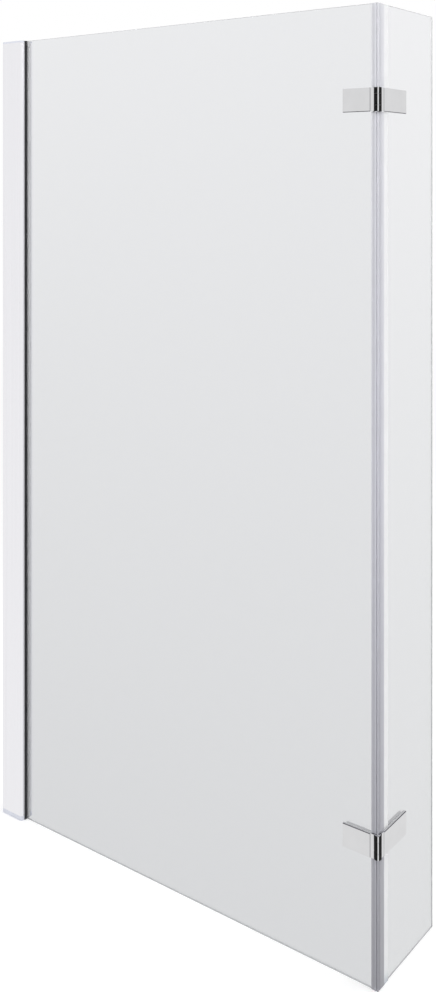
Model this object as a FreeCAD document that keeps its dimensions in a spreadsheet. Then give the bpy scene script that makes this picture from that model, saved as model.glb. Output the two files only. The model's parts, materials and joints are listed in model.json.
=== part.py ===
import FreeCAD, Part
import math
import os

import Sketcher
from FreeCAD import Rotation, Vector

# Square shower-bath screen, in millimetres. A chrome wall profile carries a wide fixed pane, and two
# glass-to-glass hinges at the outer corner carry a narrow return pane at a right angle to it.
#
# Frame: X runs along the main pane from the wall (x = 0), Y points in over the bath, Z is up.
# The main pane stands on the plane y = 0 and the bath's rim is z = 0.
# Corner pieces are drawn about the hinge axis, where the outer faces of the two panes would meet:
# x is then negative towards the wall, and y is positive towards the return pane's free edge.

SIZES = {
    # the screen
    "glass_height": 1400.0,
    "glass_thick": 6.0,
    "screen_width": 785.0,
    "return_depth": 164.0,
    "corner_setback": 8.3,
    # wall channel, screwed to the wall inside the visible profile
    "channel_depth": 27.0,
    "channel_web": 2.0,
    "channel_flange": 1.8,
    "channel_play": 0.3,
    "channel_end_gap": 0.5,
    "wall_hole_radius": 2.75,
    "wall_hole_spacing": 550.0,
    # visible profile on the glass, which slides over the wall channel
    "profile_width": 51.0,
    "profile_depth": 30.0,
    "profile_wall": 1.8,
    "profile_wall_gap": 0.5,
    "profile_chamfer": 3.0,
    "pocket_depth": 21.0,
    "pocket_width": 17.0,
    "pocket_wall": 1.5,
    "slide_travel": 15.0,
    # end caps
    "top_cap_height": 3.0,
    "bottom_cap_height": 8.0,
    "cap_plug_height": 12.0,
    "cap_plug_play": 0.2,
    # side screws that lock the width, and their covers
    "lock_screw_x": 22.0,
    "lock_screw_spacing": 450.0,
    "lock_screw_radius": 2.0,
    "lock_head_radius": 4.0,
    "lock_head_height": 2.4,
    "lock_screw_length": 6.0,
    "lock_play": 0.1,
    "lock_socket_size": 1.4,
    "cover_radius": 5.5,
    "cover_wall": 1.2,
    "cover_height": 4.0,
    # gaskets that grip the pane in the profile, and the blocks at its hidden edge
    "glazing_start": 31.0,
    "lip_reach": 1.2,
    "lip_thick": 4.5,
    "lip_chamfer": 0.8,
    "edge_block_thick": 3.0,
    "edge_block_length": 60.0,
    "edge_block_inset": 100.0,
    # corner seals
    "seal_wall": 1.0,
    "main_seal_reach": 10.4,
    "return_seal_reach": 15.8,
    "return_fin_reach": 27.0,
    "seal_neck": 1.2,
    "seal_neck_end": 1.5,
    "seal_bead_radius": 2.2,
    "seal_cup_radius": 2.5,
    "seal_hinge_gap": 0.5,
    # hinges
    "upper_hinge_level": 1263.0,
    "lower_hinge_level": 205.0,
    "hinge_height": 34.0,
    "leaf_thick": 3.5,
    "clamp_thick": 5.0,
    "clamp_height": 26.0,
    "pad_thick": 1.0,
    "pad_margin": 0.2,
    "wing_drop": 0.7,
    "wing_clearance": 0.3,
    "leaf_start": 10.5,
    "main_leaf_end": 56.4,
    "return_leaf_end": 74.0,
    "clamp_start": 13.0,
    "knuckle_radius": 5.5,
    "knuckle_core_radius": 4.4,
    "nose_width": 1.9,
    "nose_turn": 54.0,
    "shell_play": 0.05,
    "arm_front": 3.2,
    "arm_back": 0.8,
    "arm_reach": 6.9,
    "middle_knuckle": 16.0,
    "knuckle_gap": 0.4,
    "washer_radius": 4.3,
    "washer_thick": 0.3,
    "pin_radius": 2.5,
    "pin_play": 0.05,
    "pin_chamfer": 0.5,
    # hinge screws through the panes
    "main_screw_near": 24.0,
    "main_screw_far": 46.0,
    "return_screw_near": 28.0,
    "return_screw_far": 58.0,
    "screw_radius": 3.0,
    "screw_play": 0.05,
    "screw_bite": 2.8,
    "screw_head_radius": 5.0,
    "screw_head_height": 3.0,
    "screw_head_play": 0.2,
    "screw_socket_size": 2.3,
    "screw_socket_depth": 2.0,
    "pane_hole_radius": 6.0,
}

doc = FreeCAD.newDocument("BathScreen")
sheet = doc.addObject("Spreadsheet::Sheet", "Size")
for row, (alias, value) in enumerate(SIZES.items(), start=1):
    sheet.set("A%d" % row, alias)
    sheet.set("B%d" % row, str(value))
    sheet.setAlias("B%d" % row, alias)
doc.recompute()

nodes = []


# ---------------------------------------------------------------- drawing helpers

def place(piece, position):
    """Bind a piece's place to three expressions."""
    for axis, expression in zip("xyz", position):
        piece.setExpression("Placement.Base." + axis, expression)


def block(name, low, high):
    """Box between two corners, each given as three expressions."""
    box = doc.addObject("Part::Box", name)
    place(box, low)
    for side, start, end in zip(("Length", "Width", "Height"), low, high):
        box.setExpression(side, "(%s) - (%s)" % (end, start))
    return box


TURN_TO = {
    "X": Rotation(Vector(0, 1, 0), 90),
    "Y": Rotation(Vector(1, 0, 0), -90),
    "Z": Rotation(),
}


def rod(name, foot, direction, radius, length):
    """Cylinder that starts at foot and runs along +X, +Y or +Z."""
    cylinder = doc.addObject("Part::Cylinder", name)
    cylinder.Placement = FreeCAD.Placement(Vector(), TURN_TO[direction])
    place(cylinder, foot)
    cylinder.setExpression("Radius", radius)
    cylinder.setExpression("Height", length)
    return cylinder


def hexagon(name, foot, direction, size, length):
    """Six-sided prism for a key socket."""
    prism = doc.addObject("Part::Prism", name)
    prism.Placement = FreeCAD.Placement(Vector(), TURN_TO[direction])
    place(prism, foot)
    prism.Polygon = 6
    prism.setExpression("Circumradius", size)
    prism.setExpression("Height", length)
    return prism


def join(name, pieces):
    """Fuse pieces into one solid."""
    fusion = doc.addObject("Part::MultiFuse", name)
    fusion.Shapes = pieces
    fusion.Refine = True
    return fusion


def cut(name, base, tools):
    """Take the tools away from the base."""
    difference = doc.addObject("Part::Cut", name)
    difference.Base = base
    difference.Tool = tools[0] if len(tools) == 1 else gather(name + "_tools", tools)
    return difference


def gather(name, pieces):
    """Keep separate solids together in one object."""
    group = doc.addObject("Part::Compound", name)
    group.Links = pieces
    return group


def draw_loop(sketch, points):
    """Closed outline whose corners are pairs of expressions, measured from the sketch's origin."""
    first = sketch.GeometryCount
    count = len(points)
    guess = []
    for index in range(count):
        angle = 2 * math.pi * index / count
        guess.append(Vector(math.cos(angle), math.sin(angle), 0))
    for index in range(count):
        following = (index + 1) % count
        sketch.addGeometry(Part.LineSegment(guess[index], guess[following]), False)
    for index in range(count):
        following = (index + 1) % count
        sketch.addConstraint(Sketcher.Constraint("Coincident", first + index, 2, first + following, 1))
    for index, (across, along) in enumerate(points):
        corner = first + index
        for kind, value, expression in (
            ("DistanceX", guess[index].x, across),
            ("DistanceY", guess[index].y, along),
        ):
            number = sketch.addConstraint(Sketcher.Constraint(kind, -1, 1, corner, 1, value))
            label = "%s_%d" % (kind, corner)
            sketch.renameConstraint(number, label)
            sketch.setExpression("Constraints." + label, expression)


def extrusion(name, loops, position, length):
    """Body with a section drawn on its XY plane and padded upwards."""
    body = doc.addObject("PartDesign::Body", name)
    plane = [item for item in body.Origin.OriginFeatures if item.Role == "XY_Plane"][0]
    sketch = body.newObject("Sketcher::SketchObject", name + "_section")
    sketch.AttachmentSupport = (plane, [""])
    sketch.MapMode = "FlatFace"
    for points in loops:
        draw_loop(sketch, points)
    pad = body.newObject("PartDesign::Pad", name + "_pad")
    pad.Profile = sketch
    pad.setExpression("Length", length)
    place(body, position)
    return body


def rectangle(low, high):
    """Corners of a rectangle, from two pairs of expressions."""
    return [(low[0], low[1]), (high[0], low[1]), (high[0], high[1]), (low[0], high[1])]


def negative(expression):
    return "-(%s)" % expression


def keep(piece, label):
    """Name a finished piece and list it for export."""
    piece.Label = label
    nodes.append(piece)
    return piece


# ---------------------------------------------------------------- wall channel and profile

HALF_DEPTH = "Size.profile_depth / 2"
INNER_HALF = "Size.profile_depth / 2 - Size.profile_wall"
CHANNEL_HALF = "Size.profile_depth / 2 - Size.profile_wall - Size.channel_play"
MIDDLE_LEVEL = "Size.glass_height / 2"
POCKET_FLOOR = "Size.profile_width - Size.pocket_depth"
POCKET_HALF = "Size.pocket_width / 2"
GLASS_HALF = "Size.glass_thick / 2"


def levels(spacing):
    """Three heights, evenly spaced about the middle of the screen."""
    return ["%s + (%d) * %s" % (MIDDLE_LEVEL, step, spacing) for step in (-1, 0, 1)]


def make_wall_channel():
    """U channel, open away from the wall, with its wall holes and tapped side holes."""
    inside = "%s - Size.channel_flange" % CHANNEL_HALF
    section = [
        ("0", negative(CHANNEL_HALF)),
        ("Size.channel_depth", negative(CHANNEL_HALF)),
        ("Size.channel_depth", negative(inside)),
        ("Size.channel_web", negative(inside)),
        ("Size.channel_web", inside),
        ("Size.channel_depth", inside),
        ("Size.channel_depth", CHANNEL_HALF),
        ("0", CHANNEL_HALF),
    ]
    head = "Size.glass_height - Size.top_cap_height - Size.channel_end_gap"
    bar = extrusion("channel_bar", [section], ("0", "0", "0"), head)
    holes = []
    for level in levels("Size.wall_hole_spacing"):
        start = ("-Size.channel_web", "0", level)
        holes.append(rod("wall_hole", start, "X", "Size.wall_hole_radius", "3 * Size.channel_web"))
    tapped = "Size.lock_screw_radius + Size.screw_play"
    for level in levels("Size.lock_screw_spacing"):
        start = ("Size.lock_screw_x", "%s - Size.channel_web" % inside, level)
        holes.append(rod("tapped_hole", start, "Y", tapped, "3 * Size.channel_web"))
    keep(cut("wall_channel", bar, holes), "wall_channel")


def profile_outline():
    """Outside of the visible profile and its caps: two chamfered corners, and the pane's pocket."""
    bevel_x = "Size.profile_width - Size.profile_chamfer"
    bevel_y = "%s - Size.profile_chamfer" % HALF_DEPTH
    return [
        ("Size.profile_wall_gap", negative(HALF_DEPTH)),
        (bevel_x, negative(HALF_DEPTH)),
        ("Size.profile_width", negative(bevel_y)),
        ("Size.profile_width", negative(POCKET_HALF)),
        (POCKET_FLOOR, negative(POCKET_HALF)),
        (POCKET_FLOOR, POCKET_HALF),
        ("Size.profile_width", POCKET_HALF),
        ("Size.profile_width", bevel_y),
        (bevel_x, HALF_DEPTH),
        ("Size.profile_wall_gap", HALF_DEPTH),
    ]


def notch_outline(depth):
    """Notch in the profile's wall side that takes the wall channel."""
    return [
        ("Size.profile_wall_gap", INNER_HALF),
        (depth, INNER_HALF),
        (depth, negative(INNER_HALF)),
        ("Size.profile_wall_gap", negative(INNER_HALF)),
    ]


def make_glass_profile():
    """Visible chrome profile: flanges over the wall channel, and a pocket for the pane."""
    web = "%s - Size.pocket_wall" % POCKET_FLOOR
    chamber_near = "%s + Size.pocket_wall" % POCKET_HALF
    chamber_end = "Size.profile_width - Size.profile_wall"
    # the chamber's own chamfer keeps the wall's thickness behind the outer one
    cut_back = "(Size.profile_chamfer - 0.6 * Size.profile_wall)"
    chamber = [
        (POCKET_FLOOR, chamber_near),
        (chamber_end, chamber_near),
        (chamber_end, "%s - %s" % (INNER_HALF, cut_back)),
        ("%s - %s" % (chamber_end, cut_back), INNER_HALF),
        (POCKET_FLOOR, INNER_HALF),
    ]
    mirrored = [(across, negative(along)) for across, along in chamber]
    loops = [profile_outline() + notch_outline(web), chamber, mirrored]
    height = "Size.glass_height - Size.top_cap_height - Size.bottom_cap_height"
    bar = extrusion("profile_bar", loops, ("0", "0", "Size.bottom_cap_height"), height)
    # slots let the profile slide past the lock screws, which stand still in the channel
    half_slot = "(Size.lock_screw_radius + Size.channel_play)"
    slot_start = "Size.lock_screw_x - Size.slide_travel"
    cuts = []
    for level in levels("Size.lock_screw_spacing"):
        for end in (slot_start, "Size.lock_screw_x"):
            start = (end, "%s - Size.profile_wall" % INNER_HALF, level)
            cuts.append(rod("slot_end", start, "Y", half_slot, "4 * Size.profile_wall"))
        low = (slot_start, "%s - Size.profile_wall" % INNER_HALF, "%s - %s" % (level, half_slot))
        high = ("Size.lock_screw_x", "%s + Size.profile_wall" % HALF_DEPTH,
                "%s + %s" % (level, half_slot))
        cuts.append(block("slot_run", low, high))
    keep(cut("glass_profile", bar, [join("slots", cuts)]), "glass_profile")


def make_profile_cap(label, low, high, plug_low, plug_high, round_channel):
    """End cap: a plate of the profile's outline, and two plugs in the profile's chambers."""
    outline = profile_outline()
    if round_channel:
        # the wall channel stands on the bath's rim, so the cap goes round it
        outline += notch_outline("Size.channel_depth + Size.channel_end_gap")
    plate = extrusion(label + "_plate", [outline], ("0", "0", low), "%s - (%s)" % (high, low))
    near = "%s + Size.pocket_wall + Size.cap_plug_play" % POCKET_HALF
    far = "%s - Size.cap_plug_play" % INNER_HALF
    start = "%s + Size.cap_plug_play" % POCKET_FLOOR
    end = "Size.profile_width - Size.profile_wall - Size.profile_chamfer"
    pieces = [plate]
    for front, back in ((near, far), (negative(far), negative(near))):
        pieces.append(block(label + "_plug", (start, front, plug_low), (end, back, plug_high)))
    keep(join(label, pieces), label)


def make_profile_caps():
    top_face = "Size.glass_height - Size.top_cap_height"
    make_profile_cap("profile_top_cap", top_face, "Size.glass_height",
                     "%s - Size.cap_plug_height" % top_face, top_face, False)
    make_profile_cap("profile_bottom_cap", "0", "Size.bottom_cap_height",
                     "Size.bottom_cap_height", "Size.bottom_cap_height + Size.cap_plug_height",
                     True)


def make_lock_screws():
    """Pan-head screws through the profile's slots into the wall channel, and their round covers."""
    seat = "%s + Size.lock_play" % HALF_DEPTH
    head_top = "%s + Size.lock_head_height" % seat
    screws = []
    covers = []
    for level in levels("Size.lock_screw_spacing"):
        shank = rod("lock_shank", ("Size.lock_screw_x", "%s - Size.lock_screw_length" % seat, level),
                    "Y", "Size.lock_screw_radius", "Size.lock_screw_length")
        head = rod("lock_head", ("Size.lock_screw_x", seat, level),
                   "Y", "Size.lock_head_radius", "Size.lock_head_height")
        socket = hexagon("lock_socket", ("Size.lock_screw_x", "%s - Size.lock_socket_size" % head_top,
                                         level), "Y", "Size.lock_socket_size", "Size.lock_head_height")
        screws.append(cut("lock_screw", join("lock_blank", [shank, head]), [socket]))
        dome = rod("cover_disc", ("Size.lock_screw_x", seat, level),
                   "Y", "Size.cover_radius", "Size.cover_height")
        hollow = rod("cover_hollow", ("Size.lock_screw_x", "%s - 1" % seat, level),
                     "Y", "Size.cover_radius - Size.cover_wall",
                     "Size.cover_height - Size.cover_wall + 1")
        covers.append(cut("cover", dome, [hollow]))
    keep(gather("lock_screws", screws), "lock_screws")
    keep(gather("lock_screw_covers", covers), "lock_screw_covers")


def make_glazing():
    """Two gaskets that grip the pane in its pocket, with a lip on show, and its edge blocks."""
    lip_end = "Size.profile_width + Size.lip_reach"
    lip_face = "%s + Size.lip_thick" % GLASS_HALF
    section = [
        ("Size.glazing_start", GLASS_HALF),
        (lip_end, GLASS_HALF),
        (lip_end, "%s - Size.lip_chamfer" % lip_face),
        ("%s - Size.lip_chamfer" % lip_end, lip_face),
        ("Size.profile_width", lip_face),
        ("Size.profile_width", POCKET_HALF),
        ("Size.glazing_start", POCKET_HALF),
    ]
    mirrored = [(across, negative(along)) for across, along in section]
    inner = extrusion("inner_glazing_gasket", [section], ("0", "0", "0"), "Size.glass_height")
    outer = extrusion("outer_glazing_gasket", [mirrored], ("0", "0", "0"), "Size.glass_height")
    keep(inner, "inner_glazing_gasket")
    keep(outer, "outer_glazing_gasket")
    feet = ("Size.edge_block_inset",
            "Size.glass_height - Size.edge_block_inset - Size.edge_block_length")
    blocks = []
    for foot in feet:
        low = (POCKET_FLOOR, negative(GLASS_HALF), foot)
        high = ("%s + Size.edge_block_thick" % POCKET_FLOOR, GLASS_HALF,
                "%s + Size.edge_block_length" % foot)
        blocks.append(block("edge_block", low, high))
    keep(gather("glass_edge_blocks", blocks), "glass_edge_blocks")


# ---------------------------------------------------------------- panes

HINGES = {"upper": "Size.upper_hinge_level", "lower": "Size.lower_hinge_level"}
OUTER_FACE = "-Size.glass_thick / 2"


def make_main_glass():
    """Fixed pane, from the edge blocks to its setback from the corner, with four hinge holes."""
    plan = rectangle(("%s + Size.edge_block_thick" % POCKET_FLOOR, OUTER_FACE),
                     ("Size.screen_width - Size.corner_setback", GLASS_HALF))
    pane = extrusion("main_pane", [plan], ("0", "0", "0"), "Size.glass_height")
    holes = []
    for level in HINGES.values():
        for reach in ("Size.main_screw_near", "Size.main_screw_far"):
            start = ("Size.screen_width - %s" % reach, "-Size.glass_thick", level)
            holes.append(rod("main_hole", start, "Y", "Size.pane_hole_radius",
                             "2 * Size.glass_thick"))
    keep(cut("main_glass", pane, holes), "main_glass")


def make_return_glass():
    """Hinged pane, at a right angle to the main pane, with four hinge holes."""
    plan = rectangle(("Size.screen_width - Size.glass_thick", "%s + Size.corner_setback" % OUTER_FACE),
                     ("Size.screen_width", "%s + Size.return_depth" % OUTER_FACE))
    pane = extrusion("return_pane", [plan], ("0", "0", "0"), "Size.glass_height")
    holes = []
    for level in HINGES.values():
        for reach in ("Size.return_screw_near", "Size.return_screw_far"):
            start = ("Size.screen_width - 1.5 * Size.glass_thick", "%s + %s" % (OUTER_FACE, reach), level)
            holes.append(rod("return_hole", start, "X", "Size.pane_hole_radius",
                             "2 * Size.glass_thick"))
    keep(cut("return_glass", pane, holes), "return_glass")


# ---------------------------------------------------------------- corner seals

AXIS_X = "Size.screen_width"
AXIS_Y = OUTER_FACE


def swap_side(points):
    """Mirror an outline about the corner's mitre, from the main pane to the return pane."""
    return [(negative(along), negative(across)) for across, along in points]


def seal_section(outer_reach, reach):
    """Seal on the main pane's edge: a U that grips the pane, and a neck towards the hinge axis."""
    wall = "Size.seal_wall"
    back = "Size.glass_thick + Size.seal_wall"
    edge = "-Size.corner_setback"
    front_of_edge = "Size.seal_wall - Size.corner_setback"
    return [
        (negative(outer_reach), negative(wall)),
        ("-Size.seal_neck_end", negative(wall)),
        ("-Size.seal_neck_end", "Size.seal_neck"),
        (front_of_edge, "Size.seal_neck"),
        (front_of_edge, back),
        (negative(reach), back),
        (negative(reach), "Size.glass_thick"),
        (edge, "Size.glass_thick"),
        (edge, "0"),
        (negative(outer_reach), "0"),
    ]


def make_corner_seals():
    """Two seals in three lengths each, which stop short of the hinges."""
    gap = "(Size.hinge_height / 2 + Size.seal_hinge_gap)"
    lengths = {
        "bottom": ("0", "Size.lower_hinge_level - %s" % gap),
        "middle": ("Size.lower_hinge_level + %s" % gap, "Size.upper_hinge_level - %s" % gap),
        "top": ("Size.upper_hinge_level + %s" % gap, "Size.glass_height"),
    }
    for part, (foot, head) in lengths.items():
        run = "%s - (%s)" % (head, foot)
        position = (AXIS_X, AXIS_Y, foot)
        # the main pane's seal ends in a cup round the bead
        label = "main_corner_seal_" + part
        section = seal_section("Size.main_seal_reach", "Size.main_seal_reach")
        strip = extrusion(label + "_strip", [section], position, run)
        cup = rod(label + "_cup", position, "Z", "Size.seal_cup_radius", run)
        keep(cut(label, strip, [cup]), label)
        # the return pane's seal ends in a round bead on the hinge axis, and has a wider outer fin
        label = "return_corner_seal_" + part
        section = swap_side(seal_section("Size.return_fin_reach", "Size.return_seal_reach"))
        strip = extrusion(label + "_strip", [section], position, run)
        bead = rod(label + "_bead", position, "Z", "Size.seal_bead_radius", run)
        keep(join(label, [strip, bead]), label)


# ---------------------------------------------------------------- hinges

HALF_HINGE = "Size.hinge_height / 2"
HALF_CLAMP = "Size.clamp_height / 2"
HALF_MIDDLE = "Size.middle_knuckle / 2"
KNUCKLE_END = "(Size.middle_knuckle / 2 + Size.knuckle_gap)"
PLATE_FACE = "(Size.pad_thick + Size.leaf_thick)"
WING_FACE = "(Size.pad_thick + Size.leaf_thick - Size.wing_drop)"
CLAMP_FACE = "(Size.glass_thick + Size.pad_thick)"
CLAMP_BACK = "(Size.glass_thick + Size.pad_thick + Size.clamp_thick)"

# A hinge half is drawn by how far its pieces lie from the axis along the pane (reach) and how far
# in front of or behind the pane's outer face (depth, positive inwards). The two halves are mirror
# images about the corner's mitre.
MAIN = {"start": "Size.leaf_start", "end": "Size.main_leaf_end",
        "screws": ("Size.main_screw_near", "Size.main_screw_far")}
RETURN = {"start": "Size.leaf_start", "end": "Size.return_leaf_end",
          "screws": ("Size.return_screw_near", "Size.return_screw_far")}


def slab(name, half, reach, depth, height):
    """Box of one hinge half, from ranges of reach, depth and height."""
    if half is MAIN:
        low = (negative(reach[1]), depth[0], height[0])
        high = (negative(reach[0]), depth[1], height[1])
    else:
        low = (negative(depth[1]), reach[0], height[0])
        high = (negative(depth[0]), reach[1], height[1])
    return block(name, low, high)


def through(maker, name, half, reach, start, radius, length):
    """Round or six-sided bar square to a hinge half's pane, from a depth inwards."""
    if half is MAIN:
        return maker(name, (negative(reach), start, "0"), "Y", radius, length)
    end = "(%s) + (%s)" % (start, length)
    return maker(name, (negative(end), reach, "0"), "X", radius, length)


def settle(piece, label, level):
    """Move a piece drawn about the hinge's centre to its hinge."""
    place(piece, (AXIS_X, AXIS_Y, level))
    keep(piece, label)


def knuckle_heights(half):
    """Two knuckles on the main leaf, and one between them on the return leaf."""
    if half is MAIN:
        return ((negative(HALF_HINGE), negative(KNUCKLE_END)), (KNUCKLE_END, HALF_HINGE))
    return ((negative(HALF_MIDDLE), HALF_MIDDLE),)


def nose_block(name, width, low, high):
    """Bar from the axis outwards across the corner, where a knuckle's chrome comes to the surface."""
    bar = doc.addObject("Part::Box", name)
    turn = Rotation(Vector(0, 0, 1), -SIZES["nose_turn"])
    bar.Placement = FreeCAD.Placement(Vector(), turn)
    place(bar, ("-(%s) / 2 * sin(Size.nose_turn)" % width,
                "-(%s) / 2 * cos(Size.nose_turn)" % width, low))
    bar.setExpression("Length", "Size.knuckle_radius + 1")
    bar.setExpression("Width", width)
    bar.setExpression("Height", "%s - (%s)" % (high, low))
    return bar


def arm_slab(name, half, play, low, high):
    """Short arm that joins a knuckle to its leaf, set back behind the knuckle's face."""
    depth = ("-Size.arm_front - %s" % play, "Size.arm_back + %s" % play)
    return slab(name, half, ("0", "Size.arm_reach"), depth, (low, high))


def make_leaf(label, half, level):
    """Outer plate with its wing, arms and knuckles."""
    heights = (negative(HALF_HINGE), HALF_HINGE)
    plate_depth = (negative(PLATE_FACE), "-Size.pad_thick")
    wing_depth = (negative(WING_FACE), "-Size.pad_thick")
    pieces = [slab(label + "_plate", half, (half["start"], half["end"]), plate_depth, heights)]
    # the wing carries on from the plate, and is hollowed round the barrel
    wing = slab(label + "_wing", half, ("0", half["start"]), wing_depth, heights)
    hollow = rod(label + "_hollow", ("0", "0", "-Size.hinge_height"), "Z",
                 "Size.knuckle_radius + Size.wing_clearance", "2 * Size.hinge_height")
    pieces.append(cut(label + "_hollowed", wing, [hollow]))
    for low, high in knuckle_heights(half):
        run = "%s - (%s)" % (high, low)
        pieces.append(arm_slab(label + "_arm", half, "0", low, high))
        pieces.append(rod(label + "_core", ("0", "0", low), "Z", "Size.knuckle_core_radius", run))
        nose = doc.addObject("Part::Common", label + "_nose")
        nose.Base = rod(label + "_round", ("0", "0", low), "Z", "Size.knuckle_radius", run)
        nose.Tool = nose_block(label + "_nose_bar", "Size.nose_width", low, high)
        pieces.append(nose)
    tools = [rod(label + "_bore", ("0", "0", "-Size.hinge_height"), "Z",
                 "Size.pin_radius + Size.pin_play", "2 * Size.hinge_height")]
    for reach in half["screws"]:
        tools.append(through(rod, label + "_tapped", half, reach, "-Size.pad_thick - Size.screw_bite",
                             "Size.screw_radius + Size.screw_play", "Size.screw_bite + 1"))
    settle(cut(label, join(label + "_blank", pieces), tools), label, level)


def make_shells(label, half, level):
    """Black shells on the knuckles, either side of the nose, which close the gaps to the leaves."""
    shells = []
    for low, high in knuckle_heights(half):
        run = "%s - (%s)" % (high, low)
        ring = rod(label + "_ring", ("0", "0", low), "Z", "Size.knuckle_radius", run)
        core = rod(label + "_hollow", ("0", "0", "%s - 1" % low), "Z",
                   "Size.knuckle_core_radius + Size.shell_play", "%s + 2" % run)
        nose = nose_block(label + "_nose_gap", "Size.nose_width + 2 * Size.shell_play",
                          "%s - 1" % low, "%s + 1" % high)
        arm = arm_slab(label + "_arm_gap", half, "Size.shell_play", "%s - 1" % low, "%s + 1" % high)
        shells.append(cut(label + "_one", ring, [core, nose, arm]))
    settle(gather(label, shells), label, level)


def make_clamp(label, half, level):
    """Inner plate with counterbored holes for the screws, shorter than the leaf that hides it."""
    plate = slab(label + "_plate", half, ("Size.clamp_start", half["end"]), (CLAMP_FACE, CLAMP_BACK),
                 (negative(HALF_CLAMP), HALF_CLAMP))
    sink_depth = "(Size.screw_head_height + Size.screw_head_play)"
    tools = []
    for reach in half["screws"]:
        tools.append(through(rod, label + "_hole", half, reach, "%s - 1" % CLAMP_FACE,
                             "Size.screw_radius + Size.screw_head_play", "Size.clamp_thick + 2"))
        tools.append(through(rod, label + "_sink", half, reach, "%s - %s" % (CLAMP_BACK, sink_depth),
                             "Size.screw_head_radius + Size.screw_head_play", "%s + 1" % sink_depth))
    settle(cut(label, plate, [join(label + "_bores", tools)]), label, level)


def make_pad(label, half, level, start, depth, half_height):
    """Soft pad between a plate and the pane, a little smaller than the plate."""
    heights = ("Size.pad_margin - %s" % half_height, "%s - Size.pad_margin" % half_height)
    pad = slab(label + "_sheet", half, ("%s + Size.pad_margin" % start,
                                        "%s - Size.pad_margin" % half["end"]), depth, heights)
    tools = [through(rod, label + "_hole", half, reach, "%s - 1" % depth[0],
                     "Size.screw_radius + Size.screw_play", "Size.pad_thick + 2")
             for reach in half["screws"]]
    settle(cut(label, pad, tools), label, level)


def make_screws(label, half, level):
    """Two hex-socket screws, from the clamp plate through the pane into the leaf."""
    seat = "(%s - Size.screw_head_height - Size.screw_head_play)" % CLAMP_BACK
    tip = "(-Size.pad_thick - Size.screw_bite)"
    screws = []
    for reach in half["screws"]:
        shank = through(rod, label + "_shank", half, reach, tip, "Size.screw_radius",
                        "%s - %s" % (seat, tip))
        head = through(rod, label + "_head", half, reach, seat, "Size.screw_head_radius",
                       "Size.screw_head_height")
        socket_floor = "%s + Size.screw_head_height - Size.screw_socket_depth" % seat
        socket = through(hexagon, label + "_socket", half, reach, socket_floor,
                         "Size.screw_socket_size", "Size.screw_socket_depth + 1")
        screws.append(cut(label + "_one", join(label + "_blank", [shank, head]), [socket]))
    settle(gather(label, screws), label, level)


def make_sleeves(label, half, level):
    """Two sleeves that keep the screws off the pane."""
    sleeves = []
    for reach in half["screws"]:
        body = through(rod, label + "_tube", half, reach, "0",
                       "Size.pane_hole_radius - Size.screw_play", "Size.glass_thick")
        bore = through(rod, label + "_bore", half, reach, "-1",
                       "Size.screw_radius + Size.screw_play", "Size.glass_thick + 2")
        sleeves.append(cut(label + "_one", body, [bore]))
    settle(gather(label, sleeves), label, level)


def make_pin(label, level):
    """Plain pin with turned ends, the full height of the barrel."""
    section = [
        ("0", "0"),
        ("Size.pin_radius - Size.pin_chamfer", "0"),
        ("Size.pin_radius", "Size.pin_chamfer"),
        ("Size.pin_radius", "Size.hinge_height - Size.pin_chamfer"),
        ("Size.pin_radius - Size.pin_chamfer", "Size.hinge_height"),
        ("0", "Size.hinge_height"),
    ]
    body = doc.addObject("PartDesign::Body", label)
    plane = [item for item in body.Origin.OriginFeatures if item.Role == "XZ_Plane"][0]
    sketch = body.newObject("Sketcher::SketchObject", label + "_section")
    sketch.AttachmentSupport = (plane, [""])
    sketch.MapMode = "FlatFace"
    draw_loop(sketch, section)
    turned = body.newObject("PartDesign::Revolution", label + "_turned")
    turned.Profile = sketch
    turned.ReferenceAxis = (sketch, ["V_Axis"])
    turned.Angle = 360
    settle(body, label, "%s - %s" % (level, HALF_HINGE))


def make_washers(label, level):
    """Two thin washers, above and below the middle knuckle."""
    play = "(Size.knuckle_gap - Size.washer_thick) / 2"
    washers = []
    for foot in ("%s + %s" % (HALF_MIDDLE, play),
                 "-(%s) - %s - Size.washer_thick" % (HALF_MIDDLE, play)):
        disc = rod(label + "_disc", ("0", "0", foot), "Z", "Size.washer_radius", "Size.washer_thick")
        bore = rod(label + "_bore", ("0", "0", "%s - 1" % foot), "Z",
                   "Size.pin_radius + Size.pin_play", "Size.washer_thick + 2")
        washers.append(cut(label + "_one", disc, [bore]))
    settle(gather(label, washers), label, level)


def make_hinge(place_name, level):
    """One hinge: two clamped leaves, their shells, pads, screws and sleeves, the pin and its washers."""
    for side, half in (("main", MAIN), ("return", RETURN)):
        stem = "%s_hinge_%s_" % (place_name, side)
        make_leaf(stem + "leaf", half, level)
        make_shells(stem + "shells", half, level)
        make_clamp(stem + "clamp", half, level)
        make_pad(stem + "outer_pad", half, level, half["start"], ("-Size.pad_thick", "0"),
                 HALF_HINGE)
        make_pad(stem + "inner_pad", half, level, "Size.clamp_start", ("Size.glass_thick", CLAMP_FACE),
                 HALF_CLAMP)
        make_screws(stem + "screws", half, level)
        make_sleeves(stem + "sleeves", half, level)
    make_pin(place_name + "_hinge_pin", level)
    make_washers(place_name + "_hinge_washers", level)


# ---------------------------------------------------------------- build and export

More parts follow.
